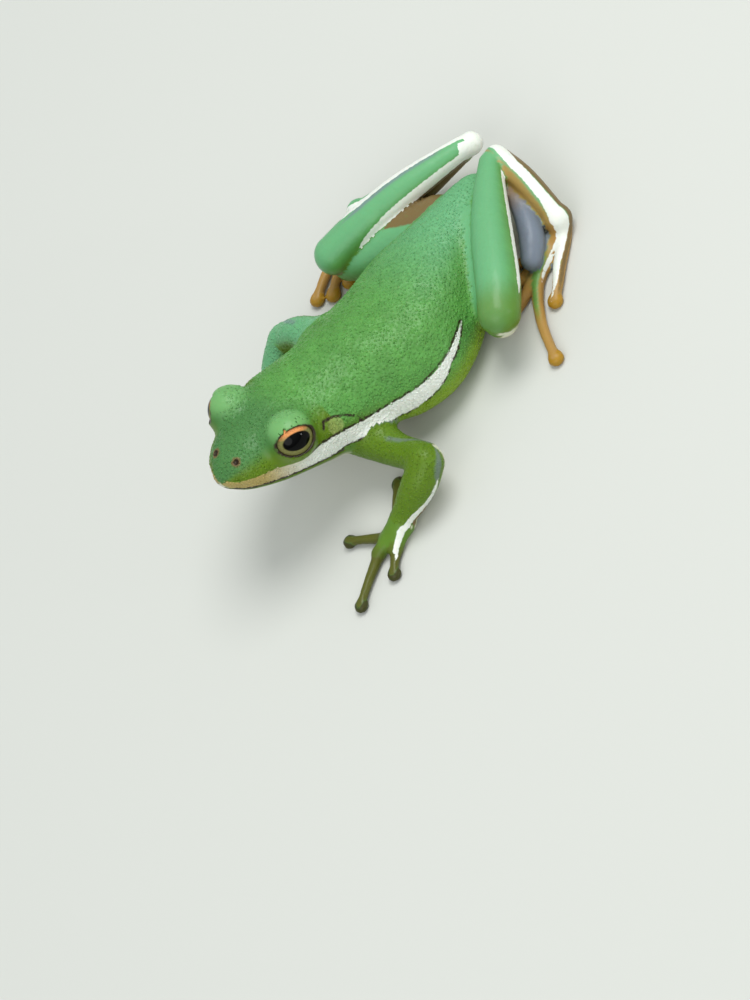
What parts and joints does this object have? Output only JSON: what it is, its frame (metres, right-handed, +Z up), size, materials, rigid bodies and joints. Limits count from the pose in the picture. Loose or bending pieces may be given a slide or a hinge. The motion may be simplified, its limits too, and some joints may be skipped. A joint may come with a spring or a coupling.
{
  "type": "green tree frog",
  "caption": "Life-size green tree frog sitting with its head raised and its hind legs folded, as a still natural history model.",
  "frame": {"origin": "middle of the frog's bounding box, on the floor that its belly, hands and feet rest on", "axes": "the frog looks along -Y with its left side on +X, and +Z is up"},
  "size_m": [0.044, 0.0596, 0.0201],
  "materials": {
    "green_skin": "moist satin skin with fine grains",
    "digit_skin": "moist satin skin",
    "eye": "wet gloss"
  },
  "bodies": {
    "root": {"eye_left": "eye", "eye_right": "eye", "head": "green_skin", "torso": "green_skin", "upper_arm_left": "green_skin", "forearm_left": "green_skin", "palm_left": "green_skin", "finger_left_1": "digit_skin", "finger_left_2": "digit_skin", "finger_left_3": "digit_skin", "finger_left_4": "digit_skin", "thigh_left": "green_skin", "shank_left": "green_skin", "tarsus_left": "green_skin", "foot_left": "green_skin", "toe_left_1": "digit_skin", "toe_left_2": "digit_skin", "toe_left_3": "digit_skin", "toe_left_4": "digit_skin", "toe_left_5": "digit_skin", "upper_arm_right": "green_skin", "forearm_right": "green_skin", "palm_right": "green_skin", "finger_right_1": "digit_skin", "finger_right_2": "digit_skin", "finger_right_3": "digit_skin", "finger_right_4": "digit_skin", "thigh_right": "green_skin", "shank_right": "green_skin", "tarsus_right": "green_skin", "foot_right": "green_skin", "toe_right_1": "digit_skin", "toe_right_2": "digit_skin", "toe_right_3": "digit_skin", "toe_right_4": "digit_skin", "toe_right_5": "digit_skin"}
  },
  "joints": []
}
